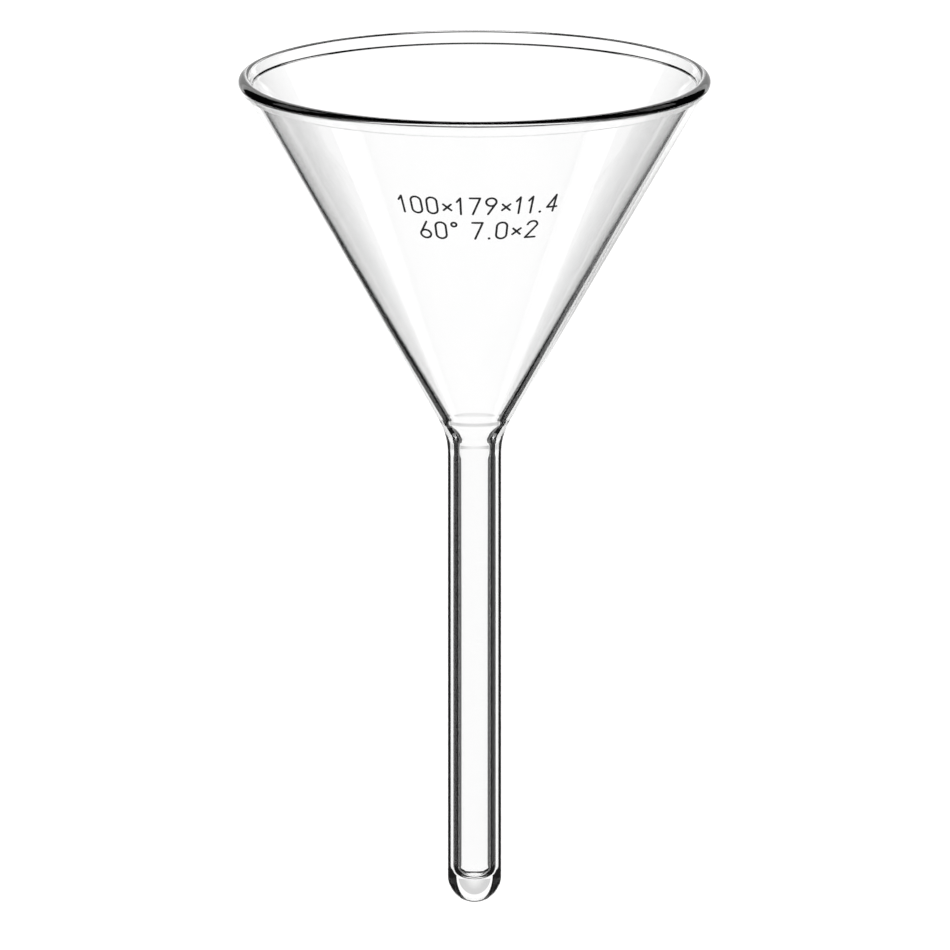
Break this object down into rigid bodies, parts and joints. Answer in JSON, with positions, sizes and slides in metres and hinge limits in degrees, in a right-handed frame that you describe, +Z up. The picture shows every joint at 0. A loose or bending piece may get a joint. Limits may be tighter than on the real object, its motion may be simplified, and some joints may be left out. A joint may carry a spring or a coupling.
{
  "type": "glass funnel",
  "caption": "Conical 60 degree glass funnel with a fire-polished beaded rim, a fused long straight stem and a rounded closed tip; enamel size numerals on the front.",
  "frame": {"origin": "lowest point of the round tip, on the axis", "axes": "+Z up the axis from the tip to the rim; the printed marks face -Y; +X to the right seen from the front"},
  "size_m": [0.1, 0.1, 0.1789],
  "materials": {
    "glass": "clear, fire-polished",
    "enamel": "fired grey-black enamel print"
  },
  "bodies": {
    "root": {"rim_bead": "glass", "bowl_cone": "glass", "neck_joint": "glass", "stem_tube": "glass", "round_tip": "glass", "upper_size_mark": "enamel", "lower_size_mark": "enamel"}
  },
  "joints": []
}
